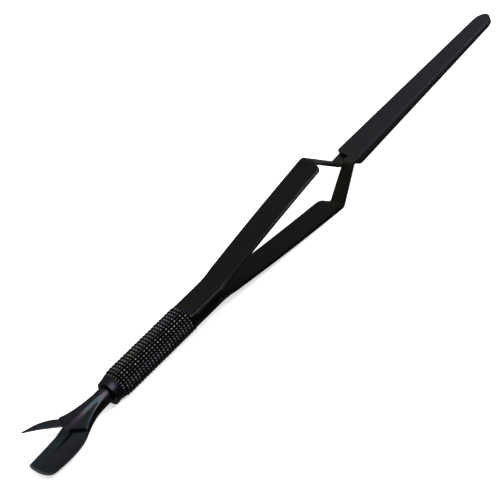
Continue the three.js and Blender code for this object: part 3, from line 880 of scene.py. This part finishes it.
def spring_strip(name, half_turn):
    """One strip; half_turn is 1 for the upper one and -1 for the lower, which is turned over."""
    upper = half_turn > 0
    work = strip_blank()
    rim = [e for e in work.edges if is_rim(e)]
    for v in work.verts:
        v.co.z *= STRIP_T
    bmesh.ops.bevel(work, geom=rim, offset=EDGE_R, segments=3, affect="EDGES", profile=0.5,
                    clamp_overlap=True)
    for label in ("mark", "painted_shade"):
        work.verts.layers.float.new(label)
    # the first layer holds the painted highlight on edges and jaws' sides, the second the painted shade
    wear_and_highlight, corner = work.verts.layers.float["mark"], work.verts.layers.float["painted_shade"]
    for v in work.verts:
        through = v.co.z / STRIP_T
        x, y, z = bend_point(v.co.x, v.co.y, through)
        v[wear_and_highlight] = edge_highlight_at(x, through, upper)
        if not upper:
            x += LOWER_LONGER * fade(x, 60, 80) * fade(x, JAW_START, 91)
        v[corner] = painted_shade_at(x, z, through, upper)
        rise = max(x - JAW_START, 0.0) * math.tan(JAW_PITCH)
        v.co = Vector((x, y * half_turn, z * half_turn + rise)) * MM
    mesh = bpy.data.meshes.new(name)
    work.to_mesh(mesh)
    work.free()
    strip = piece(name, tidy(mesh, 40), STRIP_BLACK)
    weigh = strip.modifiers.new("flat_faces_lead", "WEIGHTED_NORMAL")
    weigh.keep_sharp = True
    weigh.weight = 80
    return strip


for side, half_turn in (("upper", 1), ("lower", -1)):
    strip = spring_strip(f"{side}_spring_strip", half_turn)
    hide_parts(f"{side}_arm_root", f"{side}_arm")
    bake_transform(strip, "handle", f"arm_{side}", start=lay([(42, 0, 0)])[0], end=lay([(68, 0, 0)])[0])

# %% [markdown]
# ## The fork's scoop and neck
#
# The fork is forged from round bar. It stays round where it enters the handle, then flares into a plate
# with a soft ridge along it. Past a slanting step it is a shallow scoop with a crease down its middle, thin
# edges and a rounded scraping end. A loft of sections along the tool follows all of that. Each section has
# an upper and a lower curve across the width, and how far they stand above and below the edge is a curve
# along the tool. Shade is painted into the colour in the crease, at the step, on the neck's flanks and by
# the mouth, so a section also says how much painted shade each of its points has.

# %% Edges of the fork
# y of the left and the right edge and z of both, at places along the tool
LEFT = [(2.2, 2.25), (0, 2.25), (-3, 2.35), (-6, 2.95), (-9, 4.1), (-10.6, 5.1), (-11.6, 5.7), (-12.2, 4.5),
        (-12.9, 3.1), (-13.7, 2.42), (-18, 2.28), (-22, 2.15), (-26, 2.05)]
RIGHT = [(2.2, -2.25), (0, -2.25), (-3, -2.35), (-6, -2.95), (-9, -4.15), (-11.6, -5.4), (-14.5, -6.6),
         (-18, -7.1), (-22, -7.1), (-26, -6.7)]
EDGE_Z = [(2.2, 0), (0, 0), (-6, 0), (-9, -0.05), (-11.6, -0.2), (-14.5, -0.5), (-18, -0.66), (-22, -0.76),
          (-26, -0.86)]
# how high the plate and the ridge on it stand, and where the ridge runs
PLATE = [(2.2, 1.5), (-3, 1.5), (-6, 1.4), (-9, 1.25), (-11.6, 1.05), (-15, 0.85)]
RIDGE = [(2.2, 0.75), (-6, 0.75), (-9, 0.72), (-11.6, 0.62), (-13.5, 0.45), (-15, 0.3)]
RIDGE_Y = [(0, -0.9), (-6, -0.4), (-9, -0.2), (-13.5, 0.7)]
RIDGE_HALF = 0.8
# how far the underside hangs below the edges
BELLY = [(2.2, 2.25), (0, 2.25), (-3, 2.2), (-6, 2.15), (-9, 2.05), (-11.6, 1.8), (-14.5, 1.3), (-18, 1.05),
         (-22, 0.8), (-26, 0.3)]
# how high the scoop lies, by the distance past the step
HOLLOW = [(0, 1.4), (0.5, 0.95), (1.0, 0.6), (2.2, 0.12), (4.0, -0.2), (6.5, -0.36), (10, -0.42), (15, -0.34)]
# how far the rounded end reaches, from the right edge of the fork, -1, to the left one, 1
END_X = [(-1, -24.7), (-0.93, -25.5), (-0.8, -26.05), (-0.5, -26.58), (-0.1, -26.84), (0.3, -26.82),
         (0.6, -26.78), (0.85, -26.62), (0.95, -26.45), (1, -26.2)]
CREASE_Y = [(-12.5, -1.75), (-16.3, -0.75), (-21, -0.2)]
CREASE_DEPTH = 0.34
CREASE_HALF = 0.4
LAST_X = -26.0
HALF_EDGE = 0.15                  # half the thickness of the scoop's edge
print(f"the scoop is {LEFT[-3][1] - RIGHT[-3][1]:.1f} mm wide and {2 * HALF_EDGE:.1f} mm thin at its edge")

# %% Top and painted shade of the fork
NECK_R = 2.25
STEP_X = -13.45                   # where the step crosses the fork's middle
STEP_SLANT = 0.46
# painted shade by the handle's mouth and on the neck's flanks
MOUTH_PAINTED_SHADE = 0.5
FLANK_PAINTED_SHADE = 0.7


def step_x(y):
    """Where the step crosses the fork at y."""
    return STEP_X - STEP_SLANT * y


def bell(distance, half):
    """1 at no distance, falling off smoothly to about a third at the distance half."""
    return math.exp(-(distance / half) ** 2)


def creased(x, past):
    """How strong the crease is, in depth and in painted shade: it starts just past the step and runs out
    before the end.
    """
    return fade(x, -22.5, -16) * fade(past, 0.2, 0.8)


def fork_top(x0, x, y, w):
    """Height of the upper side over the edge: the round neck, the plate, then the hollow past the step."""
    round_w = math.sqrt(max(1 - w * w, 0.0))
    past = step_x(y) - x
    sunk = ease(past / (0.8 + 1.8 * fade(y, -1.2, 0.8)))
    scooped = curve_at(HOLLOW, past) * round_w ** 1.6
    ridge = curve_at(RIDGE, x) * bell(y - curve_at(RIDGE_Y, x), RIDGE_HALF)
    plate = curve_at(PLATE, x0) * max(1 - w ** 10, 0.0) ** 0.5 + ridge * min(1.0, 3 * round_w)
    neck = NECK_R * round_w
    crown = neck + (plate - neck) * fade(x, -0.5, -4.1)
    crease = CREASE_DEPTH * creased(x, past) * bell(y - curve_at(CREASE_Y, x), CREASE_HALF)
    return crown + (scooped - crown) * sunk - crease


def fork_painted_shade(x, y, w):
    """Painted shade: in the crease, at the step, by the handle's mouth and on the flanks."""
    past = step_x(y) - x
    in_crease = creased(x, past) * bell(y - curve_at(CREASE_Y, x) - 0.08, CREASE_HALF + 0.06)
    band = 0.3 + 0.3 * max(1 - ((y + 2.6) / 2.9) ** 2, 0.0)
    at_step = ease(1.5 - abs(past - band) / band) * fade(abs(y + 2.75), 2.6, 1.6)
    by_mouth = MOUTH_PAINTED_SHADE * fade(x, -0.8, 0) * fade(y, 1.0, -0.5)
    flank = FLANK_PAINTED_SHADE * fade(abs(w), 0.86, 0.92) * fade(x, -1, -4) * fade(x, -14, -12)
    return max(in_crease, at_step, by_mouth, flank)


print("the step crosses the middle at", step_x(0), "mm")

# %% Sections of the fork
ACROSS = 90                       # points across each curve of a section
EDGE_RUB = 0.5


def fork_section(x0):
    """A closed section that starts at x0, with how rubbed each point is and how much painted shade it has:
    right to left above, back below."""
    left, right = curve_at(LEFT, x0), curve_at(RIGHT, x0)
    edge_z = curve_at(EDGE_Z, x0)
    thin = HALF_EDGE * fade(x0, -8.5, -13.5)
    belly = curve_at(BELLY, x0)
    roundness = 1 + 0.6 * fade(x0, -10, -20)
    upper, lower, wear_and_highlight, dark = [], [], [], []
    for i in range(ACROSS):
        w = -math.cos(math.pi * i / (ACROSS - 1))
        x = x0 + (curve_at(END_X, w) - LAST_X) * fade(x0, -17, LAST_X)
        y = (left + right) / 2 + w * (left - right) / 2
        upper.append((x, y, edge_z + thin + fork_top(x0, x, y, w)))
        lower.append((x, y, edge_z - thin - belly * math.sqrt(max(1 - w * w, 0.0)) ** roundness))
        dark.append(fork_painted_shade(x, y, w))
        on_edge = fade(abs(w), 0.93, 0.98) * fade(x0, -12, -15)
        wear_and_highlight.append(EDGE_RUB * max(on_edge, fade(x0, -25.2, -25.7)))
    return upper + lower[::-1], wear_and_highlight + wear_and_highlight[::-1], dark + dark[::-1]


def shank_section(x, radius):
    """A round section with the same number of points as the others."""
    ring = []
    for i in range(ACROSS):
        a = math.pi * (1 - i / (ACROSS - 1))
        ring.append((x, radius * math.cos(a), radius * math.sin(a)))
    lower = [(x, p[1], -p[2]) for p in ring[::-1]]
    return ring + lower


print("points in a section:", len(fork_section(0)[0]))

# %% Scoop and neck
SHANK_R = 2.1
fork_rings = [shank_section(12.5, 1.9), shank_section(12.3, SHANK_R), shank_section(2.4, SHANK_R)]
fork_marks = [[0.0] * (2 * ACROSS) for _ in fork_rings]
# painted shade on the shank, inside the bore
fork_painted_shades = [[1.0] * (2 * ACROSS) for _ in fork_rings]
stations = steps(2.2, -9, 0.5)[:-1] + steps(-9, -18, 0.16)[:-1] + steps(-18, LAST_X, 0.35)
for x0 in stations:
    ring, wear_and_highlight, dark = fork_section(x0)
    fork_rings.append(ring)
    fork_marks.append(wear_and_highlight)
    fork_painted_shades.append(dark)
fork_mesh = loft("scoop_and_neck", fork_rings, fork_marks, pair_last=True, painted_shades=fork_painted_shades)
scoop = piece("scoop_and_neck", tidy(fork_mesh, 50), FORGED_BLACK)
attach(scoop, "handle")
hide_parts("fork_scoop")

# %% [markdown]
# ## The prong
#
# The prong is a small pointed blade set against the fork's left shoulder, where it makes a V with the
# scoop. It is a loft of lens-shaped sections between its outer and its inner edge, with a soft ridge down
# the middle, and it runs a little way into the fork's shoulder, as a brazed joint does.

# %% Prong
PRONG_OUTER = [(0.0, -10.9, 5.0), (0.12, -11.8, 6.1), (0.25, -12.5, 7.2), (0.4, -13.6, 8.5),
               (0.6, -15.5, 10.05), (0.8, -17.6, 11.05), (1.0, -19.65, 11.9)]
PRONG_INNER = [(0.0, -12.1, 1.9), (0.12, -13.0, 2.6), (0.25, -13.75, 3.75), (0.4, -14.9, 5.5),
               (0.6, -16.45, 7.8), (0.8, -18.15, 9.95), (1.0, -19.72, 11.8)]
PRONG_HALF_T = [(0.0, 0.5), (0.2, 0.66), (0.5, 0.58), (0.85, 0.3), (1.0, 0.06)]
PRONG_EDGE = 0.14                 # half the thickness of its edges
PRONG_ACROSS = 20


def prong_section(t):
    """A closed section at the share t of the prong's length, and how rubbed each point is."""
    outer, inner = [[curve_at([(p[0], p[k]) for p in table], t) for k in (1, 2)] for table in
                    (PRONG_OUTER, PRONG_INNER)]
    half = curve_at(PRONG_HALF_T, t)
    edge = min(PRONG_EDGE, half)
    middle = -0.1 + 0.25 * t
    upper, lower, wear_and_highlight = [], [], []
    for i in range(PRONG_ACROSS):
        w = -math.cos(math.pi * i / (PRONG_ACROSS - 1))
        share = (w + 1) / 2
        x = inner[0] + (outer[0] - inner[0]) * share
        y = inner[1] + (outer[1] - inner[1]) * share
        lift = edge + (half - edge) * (1 - abs(w) ** 1.7)
        upper.append((x, y, middle + lift))
        lower.append((x, y, middle - lift))
        wear_and_highlight.append(fade(abs(w), 0.93, 0.98))
    return upper + lower[::-1], wear_and_highlight + wear_and_highlight[::-1]


prong_rings, prong_marks = zip(*[prong_section(t) for t in steps(0, 1, 0.025)])
prong_mesh = loft("pointed_prong", prong_rings, prong_marks, pair_last=True)
prong = piece("pointed_prong", tidy(prong_mesh, 50), FORGED_BLACK)
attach(prong, "handle")
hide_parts("fork_prong")

# %% [markdown]
# ## Floor and light
#
# The floor is a wide white acrylic sheet that is lit from below, as product tables are, so shadows on it
# stay faint. Dark satin metal shows only what it mirrors, so the light is large and soft. It stands high in
# front of the tool's jaws and draws the bright line down the neck and along the strips' edges. The
# surroundings are dim near the horizon and brighter overhead, so that the faces read as nearly black.

# %% Floor
floor_mesh = bpy.data.meshes.new("floor")
floor_work = bmesh.new()
bmesh.ops.create_circle(floor_work, cap_ends=True, segments=96, radius=6.0)
floor_work.to_mesh(floor_mesh)
floor_work.free()
floor = bpy.data.objects.new("floor", floor_mesh)
bpy.context.collection.objects.link(floor)
floor_white, _, floor_shader = new_material("lit_white_acrylic")
floor_shader.inputs["Base Color"].default_value = hex_colour("#fbfbfb")
floor_shader.inputs["Roughness"].default_value = 0.9
floor_shader.inputs["Specular IOR Level"].default_value = 0.1
floor_shader.inputs["Emission Color"].default_value = (1.0, 1.0, 1.0, 1.0)
floor_shader.inputs["Emission Strength"].default_value = 0.6
floor_mesh.materials.append(floor_white)
floor.visible_glossy = False
print("floor at z =", floor.location.z)

# %% Key light
SUN_FROM = (0.429, -0.449, 0.781)
SUN_WIDTH = math.radians(44)      # a wide sun makes soft shadows
sun = bpy.data.lights.new("key", "SUN")
sun.energy = 3.2
sun.angle = SUN_WIDTH
key = bpy.data.objects.new("key", sun)
bpy.context.collection.objects.link(key)
key.location = Vector(SUN_FROM).normalized() * 2.0
key.rotation_mode = "QUATERNION"
key.rotation_quaternion = (-key.location).to_track_quat("-Z", "Y")
print("light:", key.name)

# %% Surroundings
world = bpy.data.worlds.new("studio")
bpy.context.scene.world = world
world.use_nodes = True
world.node_tree.nodes.clear()
sky = add(world.node_tree, "ShaderNodeTexCoord")
height = add(world.node_tree, "ShaderNodeSeparateXYZ", {0: sky.outputs["Generated"]})
shade = add(world.node_tree, "ShaderNodeValToRGB", {"Fac": height.outputs["Z"]})
shade.color_ramp.elements[0].position = 0.30
shade.color_ramp.elements[0].color = (0.16, 0.16, 0.17, 1)
shade.color_ramp.elements[1].position = 0.95
shade.color_ramp.elements[1].color = (1.0, 1.0, 1.0, 1)
shade.color_ramp.elements.new(0.62).color = (0.5, 0.5, 0.52, 1)
glow = add(world.node_tree, "ShaderNodeBackground", {"Color": shade.outputs["Color"], "Strength": 1.0})
add(world.node_tree, "ShaderNodeOutputWorld", {"Surface": glow.outputs[0]})
bpy.context.scene.view_settings.view_transform = "Standard"
print("surroundings:", world.name)

# %% [markdown]
# ## Camera
#
# The tool is seen from its fork end, from the right and above, through a long lens, and the camera is
# rolled so that the tool crosses the frame from corner to corner. The three axes of the camera are given in
# the tool's frame and laid like everything else.

# %% Camera
BACK = Vector((-0.42914, -0.68269, 0.59142)).normalized()
RIGHT_OF_VIEW = Vector((0.64621, -0.68953, -0.32707)).normalized()
UP_OF_VIEW = BACK.cross(RIGHT_OF_VIEW)
LOOK_AT = (55.669, 0.45, 0.52)
DISTANCE = 742.5
camera_data = bpy.data.cameras.new("camera")
camera_data.sensor_width = 36.0
camera_data.lens = 210.3
camera = bpy.data.objects.new("camera", camera_data)
bpy.context.collection.objects.link(camera)
turn = LAY.to_3x3() @ Matrix((RIGHT_OF_VIEW, UP_OF_VIEW, BACK)).transposed()
place = lay([Vector(LOOK_AT) + BACK * DISTANCE])[0]
camera.matrix_world = Matrix.Translation(place) @ turn.to_4x4()
camera_data.clip_start, camera_data.clip_end = 0.05, 20.0
bpy.context.scene.camera = camera
print("camera at", [round(v, 3) for v in place])
